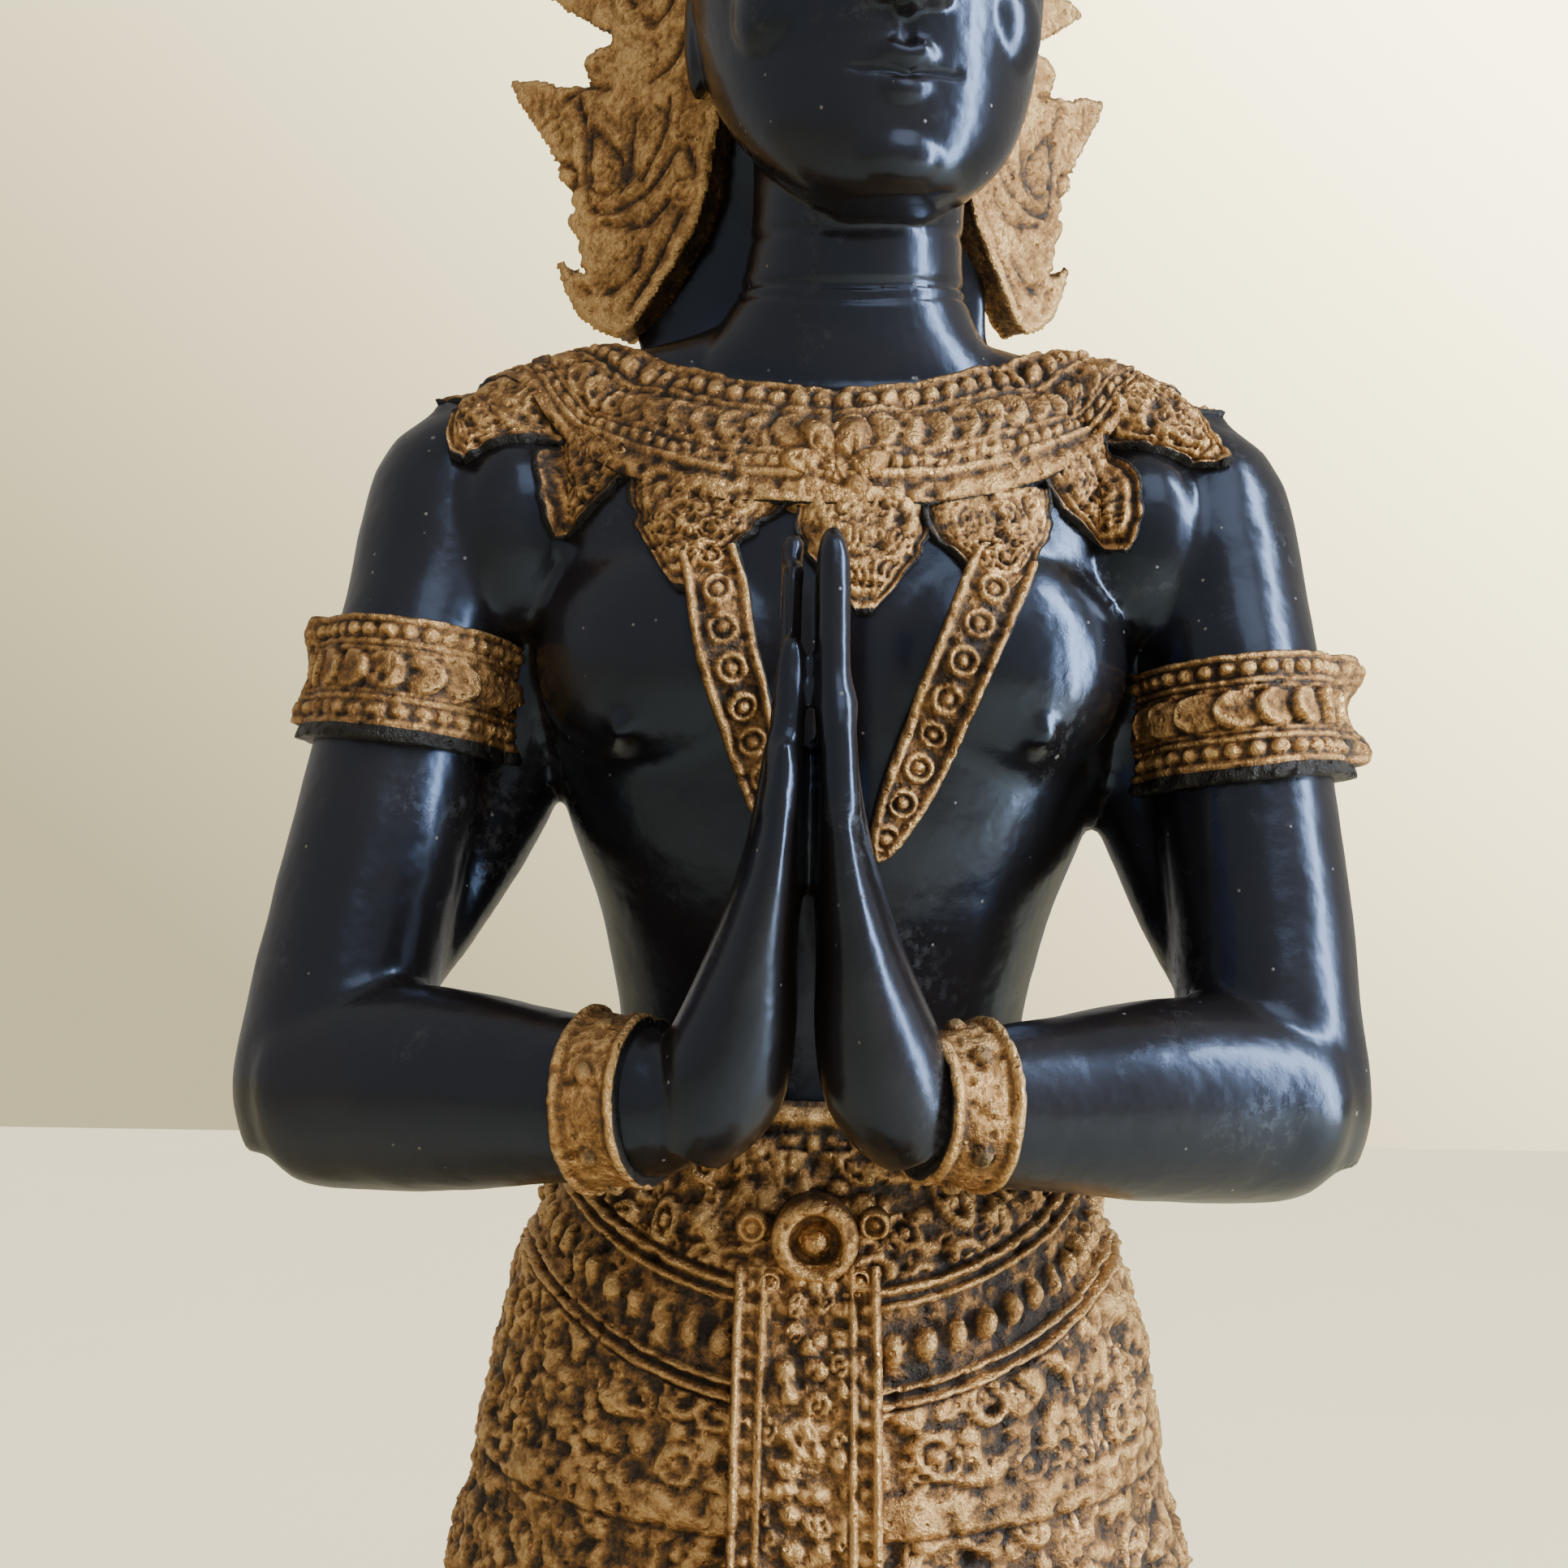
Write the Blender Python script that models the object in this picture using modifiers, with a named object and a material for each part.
"""Kneeling thepphanom angel with its palms pressed together, one metal casting on a low base.

The figure is laid out in canon parts, PARTS of them from the soles to the tip of the crown's spire.
+X is the angel's left hand side, -Y is the way it faces and +Z is up, with the origin under the base.
"""

import math

import bmesh
import bpy
from mathutils import Matrix, Vector
from mathutils.bvhtree import BVHTree

# Driving dimensions, in metres
FIGURE_HEIGHT = 0.480
BASE_WIDTH = 0.150
BASE_DEPTH = 0.212
BASE_HEIGHT = 0.016
BASE_CORNER = 0.030
BASE_STEP = 0.004
BASE_EDGE = 0.0012
SUNK_IN_BASE = 0.0015

# Canon of the figure
PARTS = 4000
P = FIGURE_HEIGHT / PARTS
FIGURE_BACK = 142

# Fineness of the solid
VOXEL = 10.5
SMOOTHING = 4
TRIANGLES = 9300
FINE_CARE = 60
SIDES = 28

HEAD_X = 38
HEAD_TURN = math.radians(9)
ARMS_SHIFT = -26

X_AXIS = Vector((1, 0, 0))
Y_AXIS = Vector((0, 1, 0))


def clear_scene():
    for old in list(bpy.data.objects):
        bpy.data.objects.remove(old)


def between(table, at):
    """The row of numbers at `at`, read from a table whose rows start with a rising value."""
    for low, high in zip(table, table[1:]):
        if at <= high[0]:
            share = max(0.0, (at - low[0]) / (high[0] - low[0]))
            return [a + (b - a) * share for a, b in zip(low[1:], high[1:])]
    return list(table[-1][1:])


def ring(centre, across, along, half, front, back, sides=SIDES):
    """Points round an oval whose front half (against `along`) and back half differ in depth."""
    points = []
    for i in range(sides):
        turn = 2 * math.pi * i / sides
        depth = back if math.sin(turn) > 0 else front
        points.append(centre + across * half * math.cos(turn) + along * depth * math.sin(turn))
    return points


def skin_rings(shape, rings, closed=False):
    """Joins rings of equal count into a body in the bmesh `shape`, with flat ends unless it is a hoop."""
    rows = [[shape.verts.new(p) for p in points] for points in rings]
    count = len(rows[0])
    pairs = list(zip(rows, rows[1:]))
    if closed:
        pairs.append((rows[-1], rows[0]))
    for low, high in pairs:
        for i in range(count):
            j = (i + 1) % count
            shape.faces.new((low[i], low[j], high[j], high[i]))
    if not closed:
        shape.faces.new(list(reversed(rows[0])))
        shape.faces.new(rows[-1])


def level_loft(shape, stations):
    """A body of level rings. Each station is x, y, z, half width, depth to the front, depth to the back."""
    skin_rings(shape, [ring(Vector((x, y, z)), X_AXIS, Y_AXIS, half, front, back)
                       for x, y, z, half, front, back in stations])


def limb(shape, stations, across=(1, 0, 0)):
    """A body along a path. Each station is x, y, z, half size along `across`, half size the other way."""
    centres = [Vector(s[:3]) for s in stations]
    rings = []
    for i, station in enumerate(stations):
        before = centres[max(i - 1, 0)]
        after = centres[min(i + 1, len(centres) - 1)]
        run = (after - before).normalized()
        side = (Vector(across) - run * run.dot(Vector(across))).normalized()
        rings.append(ring(centres[i], side, run.cross(side), station[3], station[4], station[4]))
    skin_rings(shape, rings)


def egg(shape, centre, radii, turn=0.0, tilt=0.0):
    """An ellipsoid, tilted about X and then turned about Z."""
    place = (Matrix.Translation(centre) @ Matrix.Rotation(turn, 4, "Z") @ Matrix.Rotation(tilt, 4, "X")
             @ Matrix.Diagonal((*radii, 1)))
    bmesh.ops.create_uvsphere(shape, u_segments=24, v_segments=14, radius=1, matrix=place)


def torso(shape):
    level_loft(shape, [
        (0, 0, 1180, 290, 205, 185), (0, 0, 1330, 266, 192, 172), (2, 0, 1444, 284, 205, 180),
        (4, 0, 1530, 308, 222, 190), (5, 0, 1605, 338, 236, 200), (5, 0, 1700, 368, 244, 210),
        (5, 0, 1800, 390, 250, 215), (5, 0, 1900, 400, 244, 215), (6, 0, 2000, 405, 224, 205),
        (8, 0, 2090, 400, 190, 180), (10, 5, 2150, 350, 150, 150), (12, 10, 2200, 250, 120, 125)])
    for side in (-1, 1):
        egg(shape, (5 + side * 190, -128, 1830), (196, 122, 168), side * 0.28)
        egg(shape, (5 + side * 256, -232, 1739), (22, 16, 22))
        egg(shape, (5 + side * 220, 110, 1880), (180, 105, 220))
        limb(shape, [(side * 60, 30, 2262, 60, 70), (side * 160, 20, 2195, 80, 85),
                     (side * 290, 8, 2150, 85, 90), (side * 408, 0, 2104, 96, 98),
                     (side * 480, 0, 2070, 100, 100)], across=(0, 1, 0))


def neck(shape):
    level_loft(shape, [
        (12, 30, 2150, 270, 150, 150), (18, 28, 2225, 225, 150, 150), (22, 25, 2285, 176, 148, 150),
        (28, 20, 2350, 149, 146, 146), (34, 14, 2450, 142, 148, 150), (38, 5, 2600, 150, 150, 160)])


def head_point(x, y, z):
    """A point of the head in the figure's frame: the head is turned a little to its left."""
    return Matrix.Translation((HEAD_X, 0, 0)) @ Matrix.Rotation(HEAD_TURN, 4, "Z") @ Vector((x, y, z))


def head_axes():
    turned = Matrix.Rotation(HEAD_TURN, 3, "Z")
    return turned @ X_AXIS, turned @ Y_AXIS


HEAD_RINGS = [(2392, -165, 62, 60, 60), (2418, -150, 108, 100, 90), (2470, -120, 158, 142, 140),
              (2530, -80, 192, 186, 200), (2600, -40, 215, 228, 235), (2680, -20, 229, 246, 250),
              (2760, -10, 235, 250, 252), (2850, -5, 233, 252, 250), (2950, 0, 220, 242, 240),
              (3030, 0, 188, 205, 205), (3080, 0, 130, 145, 150), (3104, 0, 50, 60, 60)]


def head(shape):
    across, along = head_axes()
    skin_rings(shape, [ring(head_point(0, y, z), across, along, half, front, back)
                       for z, y, half, front, back in HEAD_RINGS])
    nose = [(-240, 2800, 20, 16), (-258, 2740, 22, 20), (-276, 2675, 26, 25), (-284, 2640, 32, 27),
            (-268, 2612, 30, 20)]
    limb(shape, [(*head_point(0, y, z), a, b) for y, z, a, b in nose], across=across)
    egg(shape, head_point(0, -252, 2548), (66, 34, 17), HEAD_TURN)
    egg(shape, head_point(0, -246, 2518), (56, 34, 19), HEAD_TURN)
    egg(shape, head_point(0, -222, 2440), (60, 46, 40), HEAD_TURN)
    for side in (-1, 1):
        egg(shape, head_point(side * 32, -262, 2634), (24, 30, 20), HEAD_TURN)
        egg(shape, head_point(side * 98, -220, 2738), (62, 40, 28), HEAD_TURN)
        egg(shape, head_point(side * 100, -222, 2798), (78, 26, 13), HEAD_TURN)
        egg(shape, head_point(side * 112, -150, 2630), (84, 80, 90), HEAD_TURN)


# Radius and height of the crown's turned profile
CROWN_PROFILE = [(236, 2905), (262, 2935), (266, 2990), (250, 3010), (262, 3025), (240, 3045),
                 (205, 3110), (186, 3150), (214, 3172), (214, 3200), (184, 3222), (150, 3282), (136, 3316),
                 (164, 3334), (164, 3360), (132, 3380), (108, 3430), (98, 3462), (124, 3478), (122, 3502),
                 (92, 3520), (74, 3570), (68, 3600), (90, 3614), (88, 3634), (58, 3650), (44, 3720),
                 (36, 3760), (50, 3780), (46, 3806), (28, 3824), (20, 3900), (14, 3970)]
# Leaves standing round each tier: how many, radius, foot height, half width, half height
CROWN_LEAVES = [(18, 262, 3060, 34, 62), (14, 212, 3222, 30, 48), (12, 162, 3378, 26, 40), (10, 122, 3516, 22, 32)]
CROWN_OVAL = 0.93


def crown(shape):
    across, along = head_axes()
    skin_rings(shape, [ring(head_point(0, 0, z), across * CROWN_OVAL, along, radius, radius, radius)
                       for radius, z in CROWN_PROFILE])
    egg(shape, head_point(0, 0, PARTS - 26), (15, 15, 26))
    for count, radius, z, half, height in CROWN_LEAVES:
        for i in range(count):
            turn = 2 * math.pi * (i + 0.5) / count
            spot = head_point(CROWN_OVAL * radius * math.sin(turn), -radius * math.cos(turn), z)
            egg(shape, spot, (half, 16, height), HEAD_TURN + turn, math.radians(-6))
    egg(shape, head_point(0, -264, 3030), (56, 20, 110), HEAD_TURN, math.radians(-6))


# The ear ornament's flat outline, as distance out along the plate and height
FLAME_OUTLINE = [
    (0, 3020), (0, 2900), (5, 2700), (8, 2600), (26, 2500), (32, 2468), (50, 2423), (80, 2383), (112, 2345),
    (138, 2310), (170, 2292), (210, 2312), (240, 2338), (256, 2368), (268, 2406), (246, 2388), (220, 2378),
    (234, 2435), (254, 2463), (238, 2480), (252, 2506), (270, 2538), (284, 2570), (322, 2621), (356, 2674),
    (310, 2668), (262, 2650), (214, 2648), (223, 2664), (228, 2688), (183, 2702), (184, 2722), (218, 2738),
    (263, 2768), (302, 2794), (240, 2800), (186, 2812), (150, 2832), (170, 2870), (212, 2905), (250, 2952),
    (190, 2945), (130, 2952), (96, 2985), (104, 3040), (124, 3104), (62, 3080)]
FLAME_ROOT = (168, 60)
FLAME_SWEEP = {-1: math.radians(37), 1: math.radians(48.5)}
FLAME_THICK = 40


def flame_mesh(side):
    """The plate of one ear ornament: a flat outline with flame tips, swept back from the side of the head."""
    curve = bpy.data.curves.new("flame", "CURVE")
    curve.dimensions = "2D"
    curve.fill_mode = "BOTH"
    curve.extrude = FLAME_THICK / 2
    line = curve.splines.new("POLY")
    line.points.add(len(FLAME_OUTLINE) - 1)
    for point, (out, z) in zip(line.points, FLAME_OUTLINE):
        point.co = (out, z, 0, 1)
    line.use_cyclic_u = True
    plate = bpy.data.objects.new("flame", curve)
    bpy.context.scene.collection.objects.link(plate)
    bpy.context.view_layer.update()
    mesh = bpy.data.meshes.new_from_object(plate.evaluated_get(bpy.context.evaluated_depsgraph_get()))
    bpy.data.objects.remove(plate)
    upright = Matrix.Rotation(math.pi / 2, 4, "X")
    mesh.transform(Matrix.Translation(head_point(0, 0, 0)) @ Matrix.Rotation(HEAD_TURN, 4, "Z")
                   @ Matrix.Scale(side, 4, X_AXIS) @ Matrix.Translation((*FLAME_ROOT, 0))
                   @ Matrix.Rotation(FLAME_SWEEP[side], 4, "Z") @ upright)
    if side < 0:
        mesh.flip_normals()
    return mesh


def ear_ornaments(shape):
    for side in (-1, 1):
        mesh = flame_mesh(side)
        shape.from_mesh(mesh)
        bpy.data.meshes.remove(mesh)
        limb(shape, [(*head_point(side * 70, 100, 2230), 60, 34), (*head_point(side * 130, 105, 2290), 100, 26),
                     (*head_point(side * 138, 90, 2380), 78, 24), (*head_point(side * 130, 70, 2480), 66, 26),
                     (*head_point(side * 130, 60, 2600), 66, 30)])


def arm_x(side, x, share=1.0):
    """The arms and hands sit a little to the angel's right of its middle, more so further from the shoulder."""
    return side * x + ARMS_SHIFT * share


def arms(shape):
    for side in (-1, 1):
        limb(shape, [
            (arm_x(side, 430, 0), 15, 2095, 80, 90), (arm_x(side, 490, 0), 8, 2058, 112, 120),
            (arm_x(side, 503, 0), 0, 1990, 121, 134), (arm_x(side, 517, 0), -25, 1900, 117, 132),
            (arm_x(side, 532, 0.1), -60, 1800, 114, 130), (arm_x(side, 548, 0.3), -90, 1660, 113, 128),
            (arm_x(side, 567, 0.6), -135, 1510, 113, 124), (arm_x(side, 577, 0.9), -175, 1390, 112, 120),
            (arm_x(side, 586, 1), -200, 1290, 112, 116), (arm_x(side, 586, 1), -210, 1215, 92, 92)])
        egg(shape, (side * 404, -64, 1985), (92, 86, 135), 0, math.radians(8))
        limb(shape, [
            (arm_x(side, 404, 0), 20, 1860, 70, 90), (arm_x(side, 410, 0), 20, 1770, 80, 92),
            (arm_x(side, 438, 0), 10, 1660, 78, 84),
            (arm_x(side, 486, 0.4), -15, 1520, 66, 76), (arm_x(side, 540, 0.8), -60, 1400, 60, 66)])
        limb(shape, [
            (arm_x(side, 655, 1), -200, 1288, 78, 84), (arm_x(side, 600, 1), -216, 1295, 112, 118),
            (arm_x(side, 505, 1), -250, 1303, 118, 124), (arm_x(side, 390, 1), -305, 1308, 108, 116),
            (arm_x(side, 290, 1), -350, 1310, 94, 100), (arm_x(side, 215, 1), -385, 1312, 84, 92),
            (arm_x(side, 155, 1), -410, 1320, 76, 82), (arm_x(side, 118, 1), -425, 1336, 58, 62)],
            across=(0, 1, 0))


# Each finger's distance forward, tip height, half thickness and half breadth, for each hand
FINGERS = {-1: [(-500, 1835, 21, 23), (-457, 1920, 19, 25), (-412, 1952, 19, 26), (-366, 1925, 19, 25)],
           1: [(-500, 1950, 22, 25), (-457, 1958, 23, 25), (-412, 1955, 24, 26), (-366, 1930, 23, 25)]}


def hands(shape):
    palm = [(130, 1264, 40, 46), (112, 1302, 64, 72), (91, 1352, 74, 86), (72, 1420, 64, 90), (56, 1500, 47, 94),
            (41, 1580, 36, 96), (32, 1650, 29, 96), (28, 1720, 24, 90)]
    for side in (-1, 1):
        limb(shape, [(arm_x(side, x), -430, z, a, b) for x, z, a, b in palm])
        for y, tip, thick, broad in FINGERS[side]:
            lean = 0.6 * y - 173
            limb(shape, [(arm_x(side, 34), y, 1600, thick, broad), (arm_x(side, 27), y, 1740, thick, broad),
                         (arm_x(side, 23), lean, tip - 40, thick - 3, broad - 3), (arm_x(side, 21), lean, tip, 10, 11)])
        limb(shape, [(arm_x(side, 80), -352, 1400, 34, 36), (arm_x(side, 52), -322, 1500, 27, 28),
                     (arm_x(side, 34), -316, 1620, 24, 24), (arm_x(side, 28), -322, 1690, 12, 12)])


# Height, middle along Y, half width, depth to the front and to the back of the hips under the skirt
HIPS = [(190, 10, 330, 150, 280), (250, 10, 430, 230, 330), (350, 5, 486, 300, 352), (500, 0, 502, 340, 352),
        (636, 0, 487, 350, 345), (725, 0, 462, 346, 336), (832, 0, 440, 336, 322), (950, 0, 418, 320, 302),
        (1036, 0, 397, 302, 280), (1122, 0, 364, 275, 250), (1200, 0, 325, 245, 220), (1275, 0, 288, 214, 192)]
HIPS_X = 3


def hip_point(turn, z, out=0.0):
    """A point of the skirt's surface. turn is 0 at the front and grows towards +X."""
    y, half, front, back = between(HIPS, z)
    depth = front if math.cos(turn) > 0 else back
    return Vector((HIPS_X + (half + out) * math.sin(turn), y - (depth + out) * math.cos(turn), z))


def hips(shape):
    level_loft(shape, [(HIPS_X, y, z, half, front, back) for z, y, half, front, back in HIPS])


# Raised bands round the skirt: height at the sides, drop at the front, half height, half thickness
SKIRT_BANDS = [(1262, 4, 20, 20), (1122, 85, 11, 16), (1062, 112, 11, 16), (812, 0, 16, 20), (596, 0, 14, 16)]
HOOP_STEPS = 40


def skirt_bands(shape):
    for z_side, drop, half_height, half_thick in SKIRT_BANDS:
        rings = []
        for i in range(HOOP_STEPS):
            turn = 2 * math.pi * i / HOOP_STEPS
            z = z_side - drop * max(0.0, math.cos(turn)) ** 2
            out = (hip_point(turn, z, 1) - hip_point(turn, z)).normalized()
            rings.append(ring(hip_point(turn, z), out, Vector((0, 0, 1)), half_thick, half_height, half_height, 8))
        skin_rings(shape, rings, closed=True)


BUCKLE = (-9, 1132, 52, 34)
PANEL = [(-17, -262, 1090, 86, 40), (-17, -312, 980, 88, 34), (-17, -338, 800, 90, 34), (-14, -352, 640, 96, 34),
         (-10, -392, 460, 104, 34), (-6, -446, 280, 114, 34), (-2, -500, 120, 130, 30), (0, -528, 0, 146, 24)]


def buckle_and_panel(shape):
    """The round buckle and the long front panel that hangs between the knees to the base."""
    x, z, radius, proud = BUCKLE
    front = hip_point(0, z).y
    limb(shape, [(x, front + 60, z, radius, radius), (x, front - proud + 10, z, radius, radius),
                 (x, front - proud, z, radius - 12, radius - 12)])
    rings = []
    for mid, y, height, half, thick in PANEL:
        corners = [(-half, thick), (-half, -thick), (half, -thick), (half, thick)]
        rings.append([Vector((mid + u, y + v, height)) for u, v in corners])
    skin_rings(shape, list(reversed(rings)))


def legs(shape):
    for side in (-1, 1):
        limb(shape, [
            (side * 190, -40, 430, 210, 220), (side * 250, -240, 400, 226, 222), (side * 315, -450, 352, 212, 204),
            (side * 372, -640, 290, 188, 184), (side * 408, -790, 225, 158, 160), (side * 424, -880, 190, 100, 112)])
        limb(shape, [
            (side * 424, -880, 112, 84, 92), (side * 412, -800, 130, 128, 132), (side * 350, -400, 124, 130, 126),
            (side * 290, 0, 112, 118, 114), (side * 250, 280, 84, 86, 88), (side * 240, 340, 80, 72, 78)])
        limb(shape, [
            (side * 236, 300, 80, 66, 84), (side * 225, 400, 74, 74, 78), (side * 205, 520, 50, 82, 56),
            (side * 190, 620, 32, 80, 38), (side * 186, 670, 24, 60, 24)])


# Middle of each upper arm's band, and the middle and radius of each wrist's
ARMLETS = {-1: (-550, -62, 1785), 1: (548, -66, 1757)}
BRACELETS = {-1: ((-232, -386, 1312), 101), 1: ((141, -405, 1322), 95)}


def arm_bands(shape):
    """The gilt bands round the upper arms and the wrists."""
    for side in (-1, 1):
        middle = Vector(ARMLETS[side])
        run = Vector((side * 0.1, -0.06, -1)).normalized()
        limb(shape, [(*(middle - run * 72), 130, 142), (*(middle - run * 66), 141, 151),
                     (*(middle + run * 66), 141, 151), (*(middle + run * 72), 130, 142)])
        egg(shape, middle + Vector((side * 134, 10, 0)), (30, 66, 84))
        wrist, radius = Vector(BRACELETS[side][0]), BRACELETS[side][1]
        run = Vector((-side * 0.9, -0.42, 0.06)).normalized()
        limb(shape, [(*(wrist - run * 42), radius, radius), (*(wrist + run * 42), radius - 2, radius - 2)],
             across=(0, 1, 0))


# The collar is laid out by two angles seen from a bar inside the shoulders
COLLAR_BAR = (300, 10, 2010)
COLLAR_THICK = 27
COLLAR_SUNK = 22
NECKLINE = [(0, 45), (15, 51), (30, 66), (60, 78), (90, 80), (120, 76), (150, 64), (180, 58)]
COLLAR_BAND = [(0, 0), (14, 1), (22, 5), (31, 12), (40, 22), (50, 34), (58, 45), (70, 50), (90, 46),
               (120, 32), (150, 22), (180, 18)]
# Each leaf: where its foot starts and ends along the band, and the two angles of its tip
COLLAR_LEAVES = [(-8, 8, 3, -27), (9, 29, 17, -22), (30, 52, 57, -6), (53, 68, 63, 17), (78, 102, 92, 20),
                 (104, 128, 118, 4), (132, 158, 147, -6)]
BACK_LEAF = (165, 195, 180, -12)
LEAF_STEPS = 6


def collar_direction(turn, rise):
    turn, rise = math.radians(turn), math.radians(rise)
    return Vector((math.sin(turn) * math.cos(rise), -math.cos(turn) * math.cos(rise), math.sin(rise)))


def on_body(tree, turn, rise):
    """Where a ray out of the shoulder bar at these two angles leaves the body, and the way out there."""
    half, y, z = COLLAR_BAR
    way = collar_direction(turn, rise)
    start = Vector((half * math.sin(math.radians(turn)), y, z))
    hit, normal, _, _ = tree.ray_cast(start + way * 900, -way, 900)
    if hit is None:
        return start + way * 200, way
    return hit, (normal + way).normalized()


def wrapped_plate(shape, tree, rows):
    """A plate that follows the body, from rows of angle pairs, with its faces above and below the surface."""
    above, below = [], []
    for row in rows:
        spots = [on_body(tree, turn, rise) for turn, rise in row]
        above.append([shape.verts.new(p + n * COLLAR_THICK) for p, n in spots])
        below.append([shape.verts.new(p - n * COLLAR_SUNK) for p, n in spots])
    down, along = len(rows), len(rows[0])
    for i in range(down - 1):
        for j in range(along - 1):
            shape.faces.new((above[i][j], above[i + 1][j], above[i + 1][j + 1], above[i][j + 1]))
            shape.faces.new((below[i][j], below[i][j + 1], below[i + 1][j + 1], below[i + 1][j]))
    for i in range(down - 1):
        shape.faces.new((above[i][0], below[i][0], below[i + 1][0], above[i + 1][0]))
        shape.faces.new((above[i][-1], above[i + 1][-1], below[i + 1][-1], below[i][-1]))
    for j in range(along - 1):
        shape.faces.new((above[0][j], above[0][j + 1], below[0][j + 1], below[0][j]))
        shape.faces.new((above[-1][j], below[-1][j], below[-1][j + 1], above[-1][j + 1]))


def both_ways(value):
    return abs(((value + 180) % 360) - 180)


def collar(shape, tree):
    band = []
    for step in range(-90, 91):
        turn = step * 2
        top = between(NECKLINE, both_ways(turn))[0]
        foot = between(COLLAR_BAND, both_ways(turn))[0]
        band.append((turn, top, foot))
    rows = [[(turn, top + (foot - top) * share) for turn, top, foot in band] for share in (0, 0.25, 0.5, 0.75, 1)]
    wrapped_plate(shape, tree, rows)
    mirrored = [(-end, -start, -tip, low) for start, end, tip, low in COLLAR_LEAVES[1:]]
    for start, end, tip, low in [*COLLAR_LEAVES, BACK_LEAF, *mirrored]:
        leaf(shape, tree, start, end, tip, low)


def leaf(shape, tree, start, end, tip, low):
    """One pointed leaf of the collar, its foot on the band from `start` to `end`."""
    rows = []
    for i in range(LEAF_STEPS + 1):
        share = i / LEAF_STEPS
        swell = (1 - share ** 1.6) * 1.0
        row = []
        for j in range(5):
            across = j / 4
            turn = start + (end - start) * across
            foot = between(COLLAR_BAND, both_ways(turn))[0] + 3
            row.append((tip + (turn - tip) * max(swell, 0.03), foot + (low - foot) * share))
        rows.append(row)
    wrapped_plate(shape, tree, rows)


# Sash straps from the collar to the breastbone: x and height of the middle line, and half width
STRAP = [(192, 1905, 44), (166, 1830, 42), (128, 1740, 40), (92, 1660, 34), (62, 1590, 18)]
STRAP_X = 14
STRAP_THICK = 24


def straps(shape, tree):
    for side in (-1, 1):
        rows = []
        for x, z, half in STRAP:
            row = []
            for share in (-1, -0.5, 0, 0.5, 1):
                spot = Vector((STRAP_X + side * (x + half * share * 0.9), -900, z - half * share * 0.4))
                hit, normal, _, _ = tree.ray_cast(spot, Y_AXIS, 900)
                row.append((hit, normal))
            rows.append(row)
        above = [[shape.verts.new(p + n * STRAP_THICK) for p, n in row] for row in rows]
        below = [[shape.verts.new(p - n * COLLAR_SUNK) for p, n in row] for row in rows]
        for layer, flip in ((above, side > 0), (below, side < 0)):
            for i in range(len(rows) - 1):
                for j in range(4):
                    face = [layer[i][j], layer[i + 1][j], layer[i + 1][j + 1], layer[i][j + 1]]
                    shape.faces.new(face if flip else list(reversed(face)))
        edge = [(i, 0) for i in range(len(rows))] + [(len(rows) - 1, j) for j in range(1, 5)]
        edge += [(i, 4) for i in range(len(rows) - 2, -1, -1)] + [(0, j) for j in range(3, 0, -1)]
        for (i, j), (k, m) in zip(edge, edge[1:] + edge[:1]):
            face = [above[i][j], below[i][j], below[k][m], above[k][m]]
            shape.faces.new(face if side > 0 else list(reversed(face)))


def epaulettes(shape):
    for side in (-1, 1):
        limb(shape, [(side * 400, 0, 2170, 70, 30), (side * 462, 0, 2188, 52, 24), (side * 500, 0, 2196, 30, 20),
                     (side * 528, 0, 2214, 10, 9)], across=(0, 1, 0))


def remeshed(mesh, voxel, smoothing):
    """The union of a mesh's overlapping bodies, as an even mesh with its joints eased."""
    rough = bpy.data.objects.new("rough", mesh)
    bpy.context.scene.collection.objects.link(rough)
    remesh = rough.modifiers.new("one casting", "REMESH")
    remesh.mode = "VOXEL"
    remesh.voxel_size = voxel
    smooth = rough.modifiers.new("blend", "SMOOTH")
    smooth.iterations = smoothing
    bpy.context.view_layer.update()
    done = bpy.data.meshes.new_from_object(rough.evaluated_get(bpy.context.evaluated_depsgraph_get()))
    bpy.data.objects.remove(rough)
    return done


def thinned(mesh):
    """The mesh with fewer faces, more of them kept on the face and the chest's ornaments."""
    full = bpy.data.objects.new("full", mesh)
    bpy.context.scene.collection.objects.link(full)
    fine = full.vertex_groups.new(name="fine")
    fine.add([v.index for v in mesh.vertices if 1560 < v.co.z < 3000 and v.co.y < 40], 0.9, "REPLACE")
    fewer = full.modifiers.new("fewer faces", "DECIMATE")
    fewer.ratio = TRIANGLES / (2 * len(mesh.polygons))
    fewer.vertex_group = "fine"
    fewer.invert_vertex_group = True
    fewer.vertex_group_factor = FINE_CARE
    bpy.context.view_layer.update()
    done = bpy.data.meshes.new_from_object(full.evaluated_get(bpy.context.evaluated_depsgraph_get()))
    bpy.data.objects.remove(full)
    return done


def mesh_of(*forms, tree=None):
    """One mesh of the overlapping bodies that these functions make."""
    shape = bmesh.new()
    for form in forms:
        form(shape) if tree is None else form(shape, tree)
    mesh = bpy.data.meshes.new("forms")
    shape.to_mesh(mesh)
    shape.free()
    return mesh


def figure_mesh():
    """The whole figure in canon parts: the bare body is made first, and what it wears is laid on that."""
    bare = remeshed(mesh_of(torso, neck, arms), VOXEL, SMOOTHING)
    body = bmesh.new()
    body.from_mesh(bare)
    tree = BVHTree.FromBMesh(body)
    worn = mesh_of(collar, straps, tree=tree)
    body.from_mesh(worn)
    body.from_mesh(mesh_of(head, crown, ear_ornaments, hands, hips, skirt_bands, buckle_and_panel, legs,
                           arm_bands, epaulettes))
    whole = bpy.data.meshes.new("whole")
    body.to_mesh(whole)
    body.free()
    return thinned(remeshed(whole, VOXEL, SMOOTHING // 2))


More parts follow.
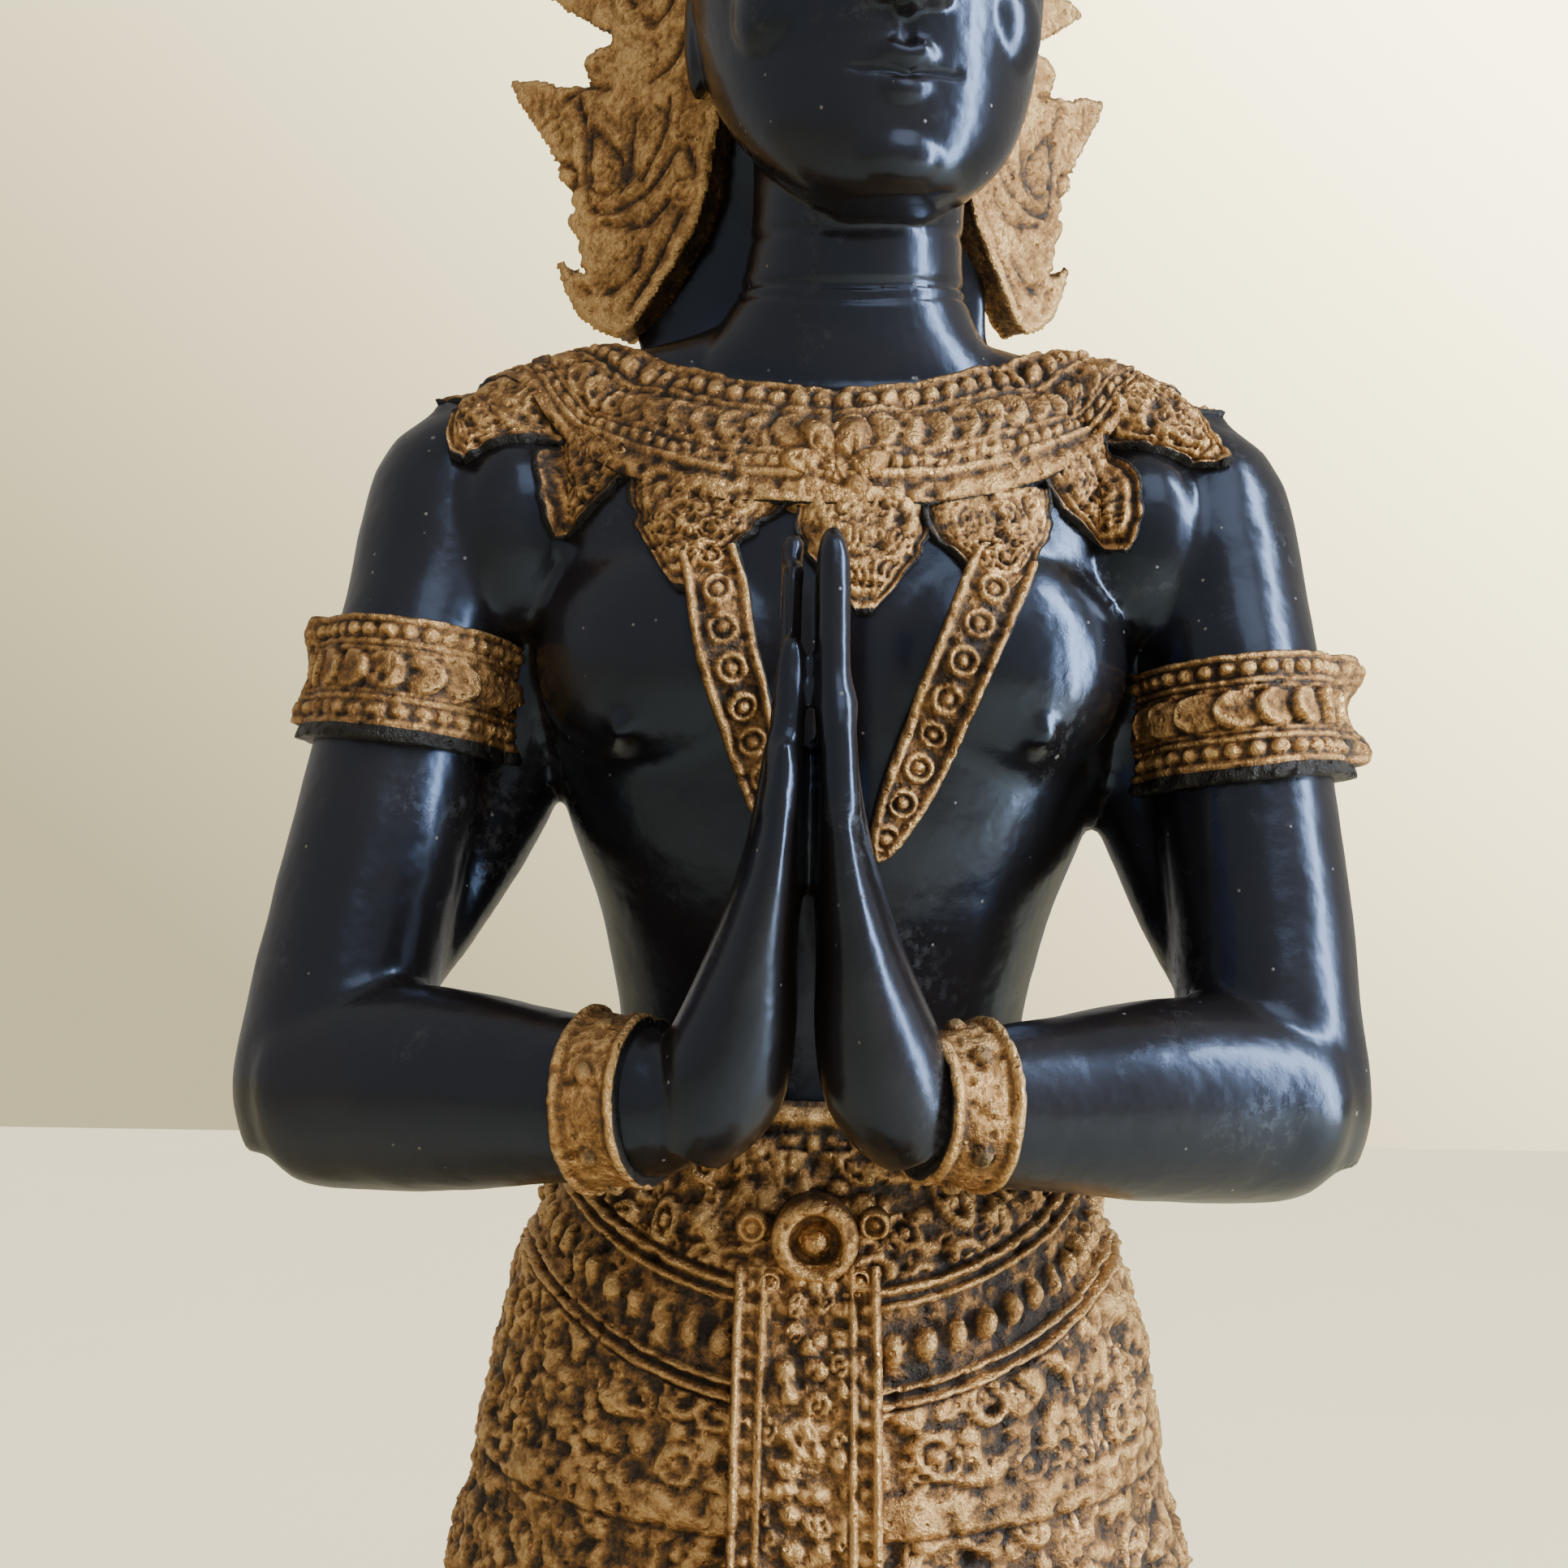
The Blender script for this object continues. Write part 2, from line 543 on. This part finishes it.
def rounded_plinth(width, depth, low, high):
    """A slab with rounded corners, its edges eased by a bevel."""
    shape = bmesh.new()
    bmesh.ops.create_cube(shape, size=1, matrix=Matrix.Translation((0, 0, (low + high) / 2))
                          @ Matrix.Diagonal((width, depth, high - low, 1)))
    upright = [e for e in shape.edges if abs(e.verts[0].co.z - e.verts[1].co.z) > (high - low) / 2]
    bmesh.ops.bevel(shape, geom=upright, offset=BASE_CORNER, segments=6, affect="EDGES", profile=0.5)
    rim = [e for e in shape.edges if len(e.link_faces) == 2 and
           abs(e.link_faces[0].normal.z - e.link_faces[1].normal.z) > 0.5]
    bmesh.ops.bevel(shape, geom=rim, offset=BASE_EDGE, segments=1, affect="EDGES", profile=0.5)
    mesh = bpy.data.meshes.new("plinth")
    shape.to_mesh(mesh)
    shape.free()
    return mesh


def helper(name, mesh, collection):
    """An object that only cuts or joins, and is left out of the render."""
    made = bpy.data.objects.new(name, mesh)
    collection.objects.link(made)
    made.hide_render = True
    made.display_type = "WIRE"
    return made


def black_lacquer():
    material = bpy.data.materials.new("black lacquer")
    material.use_nodes = True
    shader = material.node_tree.nodes["Principled BSDF"]
    shader.inputs["Base Color"].default_value = (0.012, 0.012, 0.014, 1)
    shader.inputs["Roughness"].default_value = 0.28
    return material


def main():
    clear_scene()
    statue = bpy.data.collections.new("thepphanom_angel")
    helpers = bpy.data.collections.new("helpers")
    for group in (statue, helpers):
        bpy.context.scene.collection.children.link(group)

    mesh = figure_mesh()
    mesh.transform(Matrix.Translation((0, 0, BASE_HEIGHT - SUNK_IN_BASE)) @ Matrix.Scale(P, 4)
                   @ Matrix.Translation((0, FIGURE_BACK, 0)))
    angel = bpy.data.objects.new("angel_figure", mesh)
    statue.objects.link(angel)
    angel.data.materials.clear()
    angel.data.materials.append(black_lacquer())

    lower = rounded_plinth(BASE_WIDTH, BASE_DEPTH, 0, BASE_HEIGHT * 0.55)
    upper = rounded_plinth(BASE_WIDTH - 2 * BASE_STEP, BASE_DEPTH - 2 * BASE_STEP, BASE_HEIGHT * 0.3, BASE_HEIGHT)
    for name, slab in (("lower step", lower), ("upper step", upper)):
        join = angel.modifiers.new(name, "BOOLEAN")
        join.operation = "UNION"
        join.object = helper(name, slab, helpers)
    angel.data.shade_smooth()
    angel.data.set_sharp_from_angle(angle=math.radians(50))


main()
